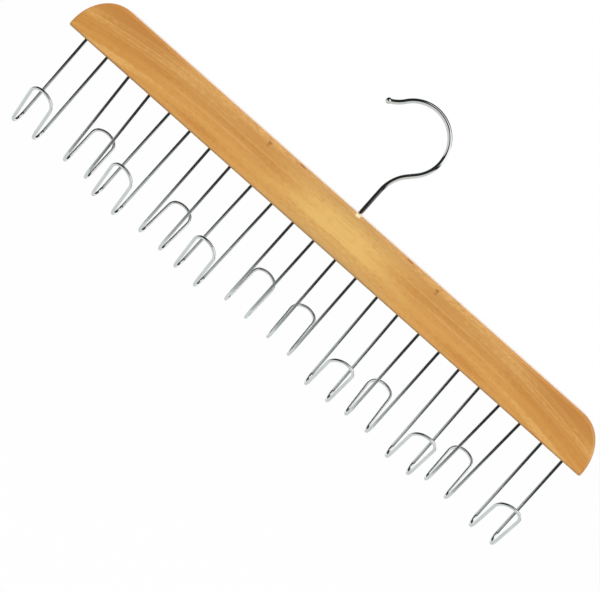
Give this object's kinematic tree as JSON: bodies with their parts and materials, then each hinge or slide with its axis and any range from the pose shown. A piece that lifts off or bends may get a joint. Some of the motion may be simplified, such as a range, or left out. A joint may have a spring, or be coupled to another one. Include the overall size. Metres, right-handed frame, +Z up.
{
  "type": "tie hanger",
  "caption": "Lacquered wooden bar that hangs on a swivelling wire rail hook and carries a row of double-leg bent-wire tie hooks, facing front and back by turns.",
  "frame": {"origin": "where the rail touches the inside top of the swivel hook, in the middle plane of the bar", "axes": "+X along the bar to the right, +Y to the back, +Z up; the bar hangs below the origin"},
  "size_m": [0.45, 0.0526, 0.1956],
  "materials": {
    "wood": "clear lacquer, satin to gloss, honey brown",
    "plated_wire": "bright chrome plating",
    "washer": "zinc plated"
  },
  "bodies": {
    "hook": {"swivel_hook": "plated_wire"},
    "bar": {"wooden_bar": "wood", "swivel_washer": "washer", "tie_hook_01": "plated_wire", "tie_hook_02": "plated_wire", "tie_hook_03": "plated_wire", "tie_hook_04": "plated_wire", "tie_hook_05": "plated_wire", "tie_hook_06": "plated_wire", "tie_hook_07": "plated_wire", "tie_hook_08": "plated_wire", "tie_hook_09": "plated_wire", "tie_hook_10": "plated_wire", "tie_hook_11": "plated_wire", "tie_hook_12": "plated_wire"}
  },
  "joints": [
    {"name": "hook_swivel", "type": "hinge", "parent": "hook", "child": "bar", "pos_m": [0.00688, 0, -0.08276], "axis": [0, 0, 1], "continuous": true}
  ]
}
